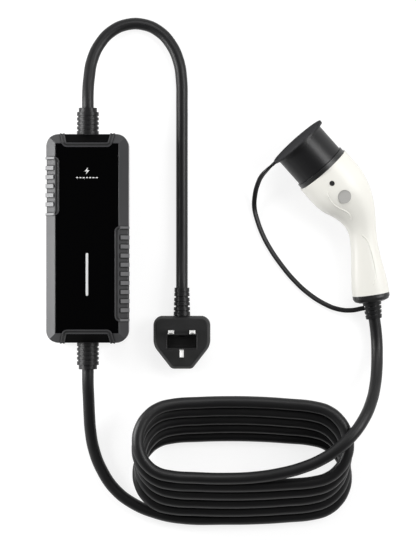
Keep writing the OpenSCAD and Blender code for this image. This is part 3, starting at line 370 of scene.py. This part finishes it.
def raiseInk():
    bpy.ops.mesh.select_all(action="SELECT")
    bpy.ops.mesh.extrude_region_move(TRANSFORM_OT_translate={"value": (0, 0, mark["ink"])})
    bpy.ops.mesh.select_all(action="SELECT")
    bpy.ops.mesh.normals_make_consistent(inside=False)


def boltMark():
    dropSelection()
    outline = mark["boltOutline"]
    bpy.ops.mesh.primitive_circle_add(vertices=len(outline), radius=mark["boltHigh"] / 2,
                                      fill_type="NGON", location=(0, 0, 0))
    bolt = bpy.context.object
    for corner, (across, up) in zip(bolt.data.vertices, outline):
        corner.co = (across * mark["boltWide"], mark["boltY"] + up * mark["boltHigh"], panelTop)
    bpy.ops.object.mode_set(mode="EDIT")
    raiseInk()
    bpy.ops.object.mode_set(mode="OBJECT")
    return bolt


def dashMark(place):
    dropSelection()
    bpy.ops.mesh.primitive_plane_add(size=1, location=(place, mark["dashY"], panelTop))
    dash = bpy.context.object
    dash.scale = (mark["dashLong"], mark["dashHigh"], 1)
    bpy.ops.object.transform_apply(location=True, rotation=False, scale=True)
    bpy.ops.object.mode_set(mode="EDIT")
    bpy.ops.mesh.select_all(action="SELECT")
    bpy.ops.mesh.bevel(offset=mark["dashHigh"] * mark["dashCorner"], segments=mark["cornerSteps"],
                       affect="VERTICES")
    raiseInk()
    bpy.ops.object.mode_set(mode="OBJECT")
    return dash


inkPieces = [boltMark()]
for i in range(mark["dashes"]):
    inkPieces.append(dashMark((i - (mark["dashes"] - 1) / 2) * mark["dashGap"]))
dropSelection()
for piece in inkPieces:
    piece.select_set(True)
bpy.context.view_layer.objects.active = inkPieces[0]
bpy.ops.object.join()
frontMark = bpy.context.object
frontMark.name = "frontMark"
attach(frontMark, "charger")
print("front mark printed")


# steps that the materials, the floor and the sky share
def mathNode(tree, operation, *values):
    node = tree.nodes.new("ShaderNodeMath")
    node.operation = operation
    for socket, value in zip(node.inputs, values):
        if isinstance(value, (int, float)):
            socket.default_value = value
        else:
            tree.links.new(value, socket)
    return node.outputs[0]


def rangeNode(tree, value, fromRange, toRange=(0.0, 1.0)):
    node = tree.nodes.new("ShaderNodeMapRange")
    for socket, number in zip(("From Min", "From Max", "To Min", "To Max"), (*fromRange, *toRange)):
        node.inputs[socket].default_value = number
    tree.links.new(value, node.inputs["Value"])
    return node.outputs[0]


def tintOver(tree, below, colour, mask):
    mix = tree.nodes.new("ShaderNodeMix")
    mix.data_type = "RGBA"
    tree.links.new(mask, mix.inputs["Factor"])
    tree.links.new(below, mix.inputs[6])  # 6, 7 and 2 are the colour sockets
    mix.inputs[7].default_value = (*colour, 1)
    return mix.outputs[2]


# finishes, and how finely their noise, grain and soft edges are drawn
skinDetail = {"patchDetail": 3, "grainDetail": 2, "noiseMiddle": 0.5, "grainHigh": 0.0004, "edgeSamples": 6}


def mouldedSkinGroup():
    # slow drift of tone and gloss, and a fine moulded grain
    group = bpy.data.node_groups.new("mouldedSkin", "ShaderNodeTree")
    for socket, kind in [("Colour", "NodeSocketColor"), ("Drift", "NodeSocketFloat"),
                         ("Patch", "NodeSocketFloat"), ("Grain", "NodeSocketFloat"),
                         ("Gloss", "NodeSocketFloat"), ("Gloss Drift", "NodeSocketFloat")]:
        group.interface.new_socket(socket, in_out="INPUT", socket_type=kind)
    for socket, kind in [("Colour", "NodeSocketColor"), ("Roughness", "NodeSocketFloat"),
                         ("Height", "NodeSocketFloat")]:
        group.interface.new_socket(socket, in_out="OUTPUT", socket_type=kind)
    add = group.nodes.new
    link = group.links.new
    given = add("NodeGroupInput")
    made = add("NodeGroupOutput")
    place = add("ShaderNodeTexCoord")
    patches = add("ShaderNodeTexNoise")
    patches.inputs["Detail"].default_value = skinDetail["patchDetail"]
    link(place.outputs["Object"], patches.inputs["Vector"])
    link(given.outputs["Patch"], patches.inputs["Scale"])
    grain = add("ShaderNodeTexNoise")
    grain.inputs["Detail"].default_value = skinDetail["grainDetail"]
    link(place.outputs["Object"], grain.inputs["Vector"])
    link(given.outputs["Grain"], grain.inputs["Scale"])
    shift = mathNode(group, "SUBTRACT", patches.outputs["Fac"], skinDetail["noiseMiddle"])
    tone = add("ShaderNodeHueSaturation")
    link(mathNode(group, "MULTIPLY_ADD", shift, given.outputs["Drift"], 1.0), tone.inputs["Value"])
    link(given.outputs["Colour"], tone.inputs["Color"])
    gloss = mathNode(group, "MULTIPLY_ADD", shift, given.outputs["Gloss Drift"], given.outputs["Gloss"])
    link(tone.outputs["Color"], made.inputs["Colour"])
    link(gloss, made.inputs["Roughness"])
    link(grain.outputs["Fac"], made.inputs["Height"])
    return group


mouldedSkin = mouldedSkinGroup()

# each finish: its colour and roughness, how far they drift over patches, and its grain, soft edges and shine
finishes = {
    "shellGrey": {"colour": (0.029, 0.029, 0.0308), "rough": 0.36, "drift": 0.10, "glossDrift": 0.08,
                  "patch": 22, "grain": 1800, "grainDeep": 0.08, "edge": 0.0005, "shine": 0.43},
    "panelGloss": {"colour": (0.0006, 0.0006, 0.0007), "rough": 0.07, "drift": 0.10, "glossDrift": 0.04,
                   "patch": 14, "grain": 60, "grainDeep": 0.004, "edge": 0.0004, "shine": 0.08},
    "insertBlack": {"colour": (0.0010, 0.0010, 0.0011), "rough": 0.30, "drift": 0.10, "glossDrift": 0.06,
                    "patch": 20, "grain": 900, "grainDeep": 0.03, "edge": 0.0004, "shine": 0.025},
    "lightWhite": {"colour": (0.50, 0.505, 0.505), "rough": 0.30, "drift": 0.04, "glossDrift": 0.06,
                   "patch": 60, "grain": 900, "grainDeep": 0.03, "edge": 0.0004},
    "sealBlack": {"colour": (0.012, 0.012, 0.012), "rough": 0.70, "drift": 0.15, "glossDrift": 0.08,
                  "patch": 30, "grain": 1500, "grainDeep": 0.10, "edge": 0.0002},
    "boardGreen": {"colour": (0.010, 0.085, 0.035), "rough": 0.42, "drift": 0.20, "glossDrift": 0.10,
                   "patch": 90, "grain": 700, "grainDeep": 0.05, "edge": 0.0002},
    "modulePlastic": {"colour": (0.055, 0.060, 0.070), "rough": 0.48, "drift": 0.15, "glossDrift": 0.08,
                      "patch": 60, "grain": 1200, "grainDeep": 0.06, "edge": 0.0004},
    "ferriteGrey": {"colour": (0.060, 0.060, 0.062), "rough": 0.62, "drift": 0.25, "glossDrift": 0.10,
                    "patch": 120, "grain": 900, "grainDeep": 0.12, "edge": 0.0004},
    "screwSteel": {"colour": (0.58, 0.58, 0.57), "rough": 0.30, "drift": 0.10, "glossDrift": 0.12,
                   "patch": 300, "grain": 2200, "grainDeep": 0.04, "edge": 0.0002, "metal": 1.0},
    "clampNylon": {"colour": (0.060, 0.060, 0.060), "rough": 0.55, "drift": 0.12, "glossDrift": 0.08,
                   "patch": 60, "grain": 1200, "grainDeep": 0.08, "edge": 0.0003},
    "bootRubber": {"colour": (0.009, 0.009, 0.0095), "rough": 0.36, "drift": 0.16, "glossDrift": 0.12,
                   "patch": 40, "grain": 1600, "grainDeep": 0.06, "edge": 0.0004, "shine": 0.20},
    "capRubber": {"colour": (0.007, 0.007, 0.0076), "rough": 0.34, "drift": 0.16, "glossDrift": 0.10,
                  "patch": 40, "grain": 1600, "grainDeep": 0.04, "edge": 0.0006, "shine": 0.0},
    "cableSheath": {"colour": (0.006, 0.006, 0.0064), "rough": 0.42, "drift": 0.20, "glossDrift": 0.14,
                    "patch": 26, "grain": 900, "grainDeep": 0.05, "edge": 0, "shine": 0.29},
    "coreCopper": {"colour": (0.45, 0.19, 0.09), "rough": 0.40, "drift": 0.16, "glossDrift": 0.10,
                   "patch": 200, "grain": 1500, "grainDeep": 0.05, "edge": 0, "metal": 1.0},
    "plugBlack": {"colour": (0.012, 0.012, 0.0123), "rough": 0.48, "drift": 0.30, "glossDrift": 0.12,
                  "patch": 70, "grain": 1500, "grainDeep": 0.14, "edge": 0.0008, "shine": 0.32},
    "carrierBlack": {"colour": (0.0022, 0.0022, 0.0022), "rough": 0.42, "drift": 0.16, "glossDrift": 0.10,
                     "patch": 60, "grain": 1500, "grainDeep": 0.10, "edge": 0.0004, "shine": 0.16},
    "pinNickel": {"colour": (0.94, 0.94, 0.925), "rough": 0.52, "drift": 0.06, "glossDrift": 0.12,
                  "patch": 160, "grain": 2500, "grainDeep": 0.03, "edge": 0.0003, "metal": 1.0},
    "sleeveBlack": {"colour": (0.018, 0.018, 0.018), "rough": 0.50, "drift": 0.12, "glossDrift": 0.08,
                    "patch": 80, "grain": 1500, "grainDeep": 0.06, "edge": 0.0002},
    "fuseCeramic": {"colour": (0.66, 0.62, 0.54), "rough": 0.40, "drift": 0.10, "glossDrift": 0.08,
                    "patch": 180, "grain": 1500, "grainDeep": 0.06, "edge": 0.0003},
    "clipBrass": {"colour": (0.62, 0.44, 0.16), "rough": 0.32, "drift": 0.10, "glossDrift": 0.10,
                  "patch": 160, "grain": 1800, "grainDeep": 0.04, "edge": 0.0002, "metal": 1.0},
    "gunWhite": {"colour": (0.74, 0.73, 0.68), "rough": 0.40, "drift": 0.035, "glossDrift": 0.08,
                 "patch": 18, "grain": 1500, "grainDeep": 0.03, "edge": 0.0004},
    "noseBlack": {"colour": (0.008, 0.008, 0.008), "rough": 0.38, "drift": 0.12, "glossDrift": 0.10,
                  "patch": 40, "grain": 1500, "grainDeep": 0.07, "edge": 0.0004},
    "badgeGrey": {"colour": (0.37, 0.365, 0.35), "rough": 0.36, "drift": 0.08, "glossDrift": 0.08,
                  "patch": 160, "grain": 1800, "grainDeep": 0.04, "edge": 0.0003},
    "inkWhite": {"colour": (0.52, 0.52, 0.515), "rough": 0.50, "drift": 0.06, "glossDrift": 0.06,
                 "patch": 400, "grain": 3000, "grainDeep": 0.02, "edge": 0},
}


def makeFinish(name, look):
    material = bpy.data.materials.new(name)
    material.use_nodes = True
    tree = material.node_tree
    link = tree.links.new
    surface = tree.nodes["Principled BSDF"]
    surface.inputs["Metallic"].default_value = look.get("metal", 0.0)
    surface.inputs["Specular IOR Level"].default_value = look.get("shine", 0.5)
    skin = tree.nodes.new("ShaderNodeGroup")
    skin.node_tree = mouldedSkin
    skin.inputs["Colour"].default_value = (*look["colour"], 1)
    skin.inputs["Drift"].default_value = look["drift"]
    skin.inputs["Patch"].default_value = look["patch"]
    skin.inputs["Grain"].default_value = look["grain"]
    skin.inputs["Gloss"].default_value = look["rough"]
    skin.inputs["Gloss Drift"].default_value = look["glossDrift"]
    bump = tree.nodes.new("ShaderNodeBump")
    bump.inputs["Strength"].default_value = look["grainDeep"]
    bump.inputs["Distance"].default_value = skinDetail["grainHigh"]
    link(skin.outputs["Colour"], surface.inputs["Base Color"])
    link(skin.outputs["Roughness"], surface.inputs["Roughness"])
    link(skin.outputs["Height"], bump.inputs["Height"])
    link(bump.outputs["Normal"], surface.inputs["Normal"])
    if look["edge"] > 0:
        softEdge = tree.nodes.new("ShaderNodeBevel")  # moulded edges are never razor sharp
        softEdge.samples = skinDetail["edgeSamples"]
        softEdge.inputs["Radius"].default_value = look["edge"]
        link(softEdge.outputs["Normal"], bump.inputs["Normal"])
    return material


materials = {name: makeFinish(name, look) for name, look in finishes.items()}

# painted light on the grips: the rib tops carry a painted highlight, and the groove along each rim and the
# tight corners carry painted shade
# the pale rib colour is a painted highlight on the rib tops, and the dark colour is painted shade in the
# groove and corners
gripTone = {
    "ribHighlightColour": (0.12, 0.12, 0.123), "paintedShadeColour": (0.004, 0.004, 0.004),
    "slope": 40.815, "slopeAt": 0.058035, "proud": (0.0003, 0.0007), "ribsFrom": 0.0348,
    "groove": (0.0502, 0.0507), "cornerReach": 0.0022, "cornerShade": (0.97, 0.60), "cornerRough": 0.5,
    "cornerSamples": 8,
}


def paintGrips(material):
    tree = material.node_tree
    surface = tree.nodes["Principled BSDF"]
    place = tree.nodes.new("ShaderNodeTexCoord")
    axes = tree.nodes.new("ShaderNodeSeparateXYZ")
    tree.links.new(place.outputs["Object"], axes.inputs[0])
    across = mathNode(tree, "ABSOLUTE", axes.outputs["X"])
    up = axes.outputs["Z"]
    # how far a spot stands proud of the bay's sloping floor
    slope = math.radians(gripTone["slope"])
    height = mathNode(tree, "MULTIPLY_ADD", up, math.sin(slope), -gripTone["slopeAt"])
    height = mathNode(tree, "MULTIPLY_ADD", across, math.cos(slope), height)
    # rib tops that stand proud of the bay get a paler colour, a painted highlight
    ribHighlightMask = mathNode(tree, "MULTIPLY", rangeNode(tree, height, gripTone["proud"]),
                       mathNode(tree, "GREATER_THAN", across, gripTone["ribsFrom"]))
    grooveLow, grooveHigh = gripTone["groove"]
    # the groove along each rim is darkened, painted shade
    grooveShadeMask = mathNode(tree, "MULTIPLY", mathNode(tree, "GREATER_THAN", up, grooveLow),
                          mathNode(tree, "LESS_THAN", up, grooveHigh))
    # occlusion darkens the colour in the tight corners, painted shade, and dulls their gloss
    corners = tree.nodes.new("ShaderNodeAmbientOcclusion")
    corners.samples = gripTone["cornerSamples"]
    corners.only_local = True
    corners.inputs["Distance"].default_value = gripTone["cornerReach"]
    shade = rangeNode(tree, corners.outputs["AO"], gripTone["cornerShade"])
    plain = surface.inputs["Base Color"].links[0].from_socket
    # the groove gets its painted shade
    grooveShaded = tintOver(tree, plain, gripTone["paintedShadeColour"], grooveShadeMask)
    # the tight corners get painted shade from the occlusion
    cornerShaded = tintOver(tree, grooveShaded, gripTone["paintedShadeColour"], shade)
    # the rib tops get their painted highlight
    ribHighlighted = tintOver(tree, cornerShaded, gripTone["ribHighlightColour"], ribHighlightMask)
    tree.links.new(ribHighlighted, surface.inputs["Base Color"])
    gloss = surface.inputs["Roughness"]
    dulled = mathNode(tree, "MULTIPLY_ADD", shade, gripTone["cornerRough"], gloss.links[0].from_socket)
    tree.links.new(dulled, gloss)


paintGrips(materials["shellGrey"])

# the cap's side is smooth rubber with a gloss, and its dished end face is moulded matt
capFace = {"deep": 0.0012, "colour": (0.042, 0.042, 0.044), "coat": 0.70, "coatRough": 0.34}


def dullEnd(material, cap):
    tree = material.node_tree
    surface = tree.nodes["Principled BSDF"]
    axis = turnGun @ tiltGun @ Vector((0, 1, 0))
    capEnd = max(v.co.dot(axis) for v in cap.data.vertices)
    place = tree.nodes.new("ShaderNodeTexCoord")
    along = tree.nodes.new("ShaderNodeVectorMath")
    along.operation = "DOT_PRODUCT"
    along.inputs[1].default_value = axis
    tree.links.new(place.outputs["Object"], along.inputs[0])
    onEnd = mathNode(tree, "GREATER_THAN", along.outputs["Value"], capEnd - capFace["deep"])
    coat = mathNode(tree, "MULTIPLY_ADD", onEnd, -capFace["coat"], capFace["coat"])
    tree.links.new(coat, surface.inputs["Coat Weight"])
    surface.inputs["Coat Roughness"].default_value = capFace["coatRough"]
    plain = surface.inputs["Base Color"].links[0].from_socket
    tree.links.new(tintOver(tree, plain, capFace["colour"], onEnd), surface.inputs["Base Color"])


dullEnd(materials["capRubber"], nodes["dust_cap"])


def wear(piece, finish):
    piece.data.materials.clear()
    piece.data.materials.append(materials[finish])


nodeFinish = {
    "shellGrey": ["rear_shell", "front_shell"],
    "panelGloss": ["front_panel"],
    "insertBlack": ["top_insert", "bottom_insert"],
    "lightWhite": ["light_bar"],
    "sealBlack": ["shell_seal"],
    "boardGreen": ["led_board", "main_board"],
    "modulePlastic": ["relays", "supply_module", "capacitors", "input_terminals", "output_terminals"],
    "ferriteGrey": ["leakage_sensor"],
    "screwSteel": ["shell_screws", "board_screws", "clamp_screws", "gun_screws"],
    "clampNylon": ["mains_clamp", "charge_clamp", "gun_clamp"],
    "bootRubber": ["mains_boot", "charge_boot", "plug_boot", "gun_boot", "cap_tether"],
    "capRubber": ["dust_cap"],
    "cableSheath": ["mains_cable", "charge_cable_in", "cable_coil", "charge_cable_out"],
    "coreCopper": ["mains_cores", "charge_cores", "gun_cores"],
    "plugBlack": ["plug_body"],
    "carrierBlack": ["fuse_carrier"],
    "pinNickel": ["live_pin", "neutral_pin", "earth_pin"],
    "sleeveBlack": ["live_sleeve", "neutral_sleeve"],
    "fuseCeramic": ["fuse"],
    "clipBrass": ["fuse_clips", "power_contacts", "signal_contacts"],
    "gunWhite": ["gun_upper_shell", "gun_lower_shell"],
    "noseBlack": ["nose", "collar_ring", "tail_ring", "screw_plug"],
    "badgeGrey": ["badge"],
}
for finish, names in nodeFinish.items():
    for name in names:
        wear(nodes[name], finish)

pieceFinish = [
    (mainsCord, "cableSheath", "cable"), (chargeCord, "cableSheath", "cable"),
    (capStrap, "bootRubber", "rubber"),
    (gunUpper, "gunWhite", "gun_white"), (gunLower, "gunWhite", "gun_white"),
    (plugShell, "plugBlack", "plug"),
    (frontMark, "inkWhite", "light"),
]
pieceFinish += [(bead, "gunWhite", "gun_white") for bead in gunBeads]
for piece, finish, slot in pieceFinish:
    wear(piece, finish)
print("finishes on:", len(materials))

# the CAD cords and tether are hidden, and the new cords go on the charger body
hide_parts("mains_cable")
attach(mainsCord, "charger")
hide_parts("charge_cable_in", "cable_coil", "charge_cable_out")
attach(chargeCord, "charger")
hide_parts("cap_tether")
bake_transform(capStrap)

# floor, sky and lamps
room = {
    "floorSize": 12.0, "floorDrop": 0.0003, "floorTone": 0.26, "floorGlow": 0.80,
    "skyLow": 0.74, "skyTop": 0.16, "skyFade": (0.45, 0.95), "skyNear": 0.30, "nearFade": (-0.8, 0.4),
    "wallGlow": 1.0, "wallFade": (0.10, 0.20), "lampAim": 0.03,
}


def layFloor():
    dropSelection()
    place = (shot["x"], shot["y"], -room["floorDrop"])
    bpy.ops.mesh.primitive_plane_add(size=room["floorSize"], location=place)
    floor = bpy.context.object
    floor.name = "studioFloor"
    floorPaint = bpy.data.materials.new("floorPaint")
    floorPaint.use_nodes = True
    tree = floorPaint.node_tree
    tree.nodes.remove(tree.nodes["Principled BSDF"])
    matt = tree.nodes.new("ShaderNodeBsdfDiffuse")
    matt.inputs["Color"].default_value = (room["floorTone"],) * 3 + (1,)
    glow = tree.nodes.new("ShaderNodeEmission")
    path = tree.nodes.new("ShaderNodeLightPath")  # the eye, mirrors and glass see the floor white
    direct = mathNode(tree, "MAXIMUM", path.outputs["Is Camera Ray"], path.outputs["Is Transmission Ray"])
    seen = mathNode(tree, "MAXIMUM", direct, path.outputs["Is Glossy Ray"])
    tree.links.new(mathNode(tree, "MULTIPLY", seen, room["floorGlow"]), glow.inputs["Strength"])
    both = tree.nodes.new("ShaderNodeAddShader")
    tree.links.new(matt.outputs[0], both.inputs[0])
    tree.links.new(glow.outputs[0], both.inputs[1])
    tree.links.new(both.outputs[0], tree.nodes["Material Output"].inputs["Surface"])
    floor.data.materials.append(floorPaint)


def hangSky():
    sky = bpy.data.worlds.new("studioSky")
    bpy.context.scene.world = sky
    sky.use_nodes = True
    tree = sky.node_tree
    way = tree.nodes.new("ShaderNodeTexCoord")
    parts = tree.nodes.new("ShaderNodeSeparateXYZ")
    tree.links.new(way.outputs["Generated"], parts.inputs[0])
    # bright low down and dim straight above, and dimmer on the near side than on the far one
    fade = rangeNode(tree, parts.outputs["Z"], room["skyFade"], (room["skyLow"], room["skyTop"]))
    nearSide = rangeNode(tree, parts.outputs["Y"], room["nearFade"], (room["skyNear"], 1.0))
    # a low white wall stands all round
    wall = rangeNode(tree, parts.outputs["Z"], room["wallFade"], (1.0, 0.0))
    pickSky = tree.nodes.new("ShaderNodeMix")
    tree.links.new(wall, pickSky.inputs[0])
    tree.links.new(mathNode(tree, "MULTIPLY", fade, nearSide), pickSky.inputs[2])
    pickSky.inputs[3].default_value = room["wallGlow"]
    back = tree.nodes["Background"]
    back.inputs["Color"].default_value = (1, 1, 1, 1)
    tree.links.new(pickSky.outputs[0], back.inputs["Strength"])


layFloor()
hangSky()

lamps = {
    "leftSoftbox": {"place": (-0.45, 0.02, 0.19), "size": 0.35, "power": 5.8},
    "farSoftbox": {"place": (0.45, 1.25, 1.50), "size": 1.0, "power": 12},
    "rightSoftbox": {"place": (1.20, 0.20, 0.95), "size": 0.7, "power": 13},
}
for name, lamp in lamps.items():
    bpy.ops.object.light_add(type="AREA", location=lamp["place"])
    light = bpy.context.object
    light.name = name
    light.data.size = lamp["size"]
    light.data.energy = lamp["power"]
    aim = Vector((shot["x"], shot["y"], room["lampAim"])) - Vector(lamp["place"])
    light.rotation_euler = aim.to_track_quat("-Z", "Y").to_euler()
print("studio lit")
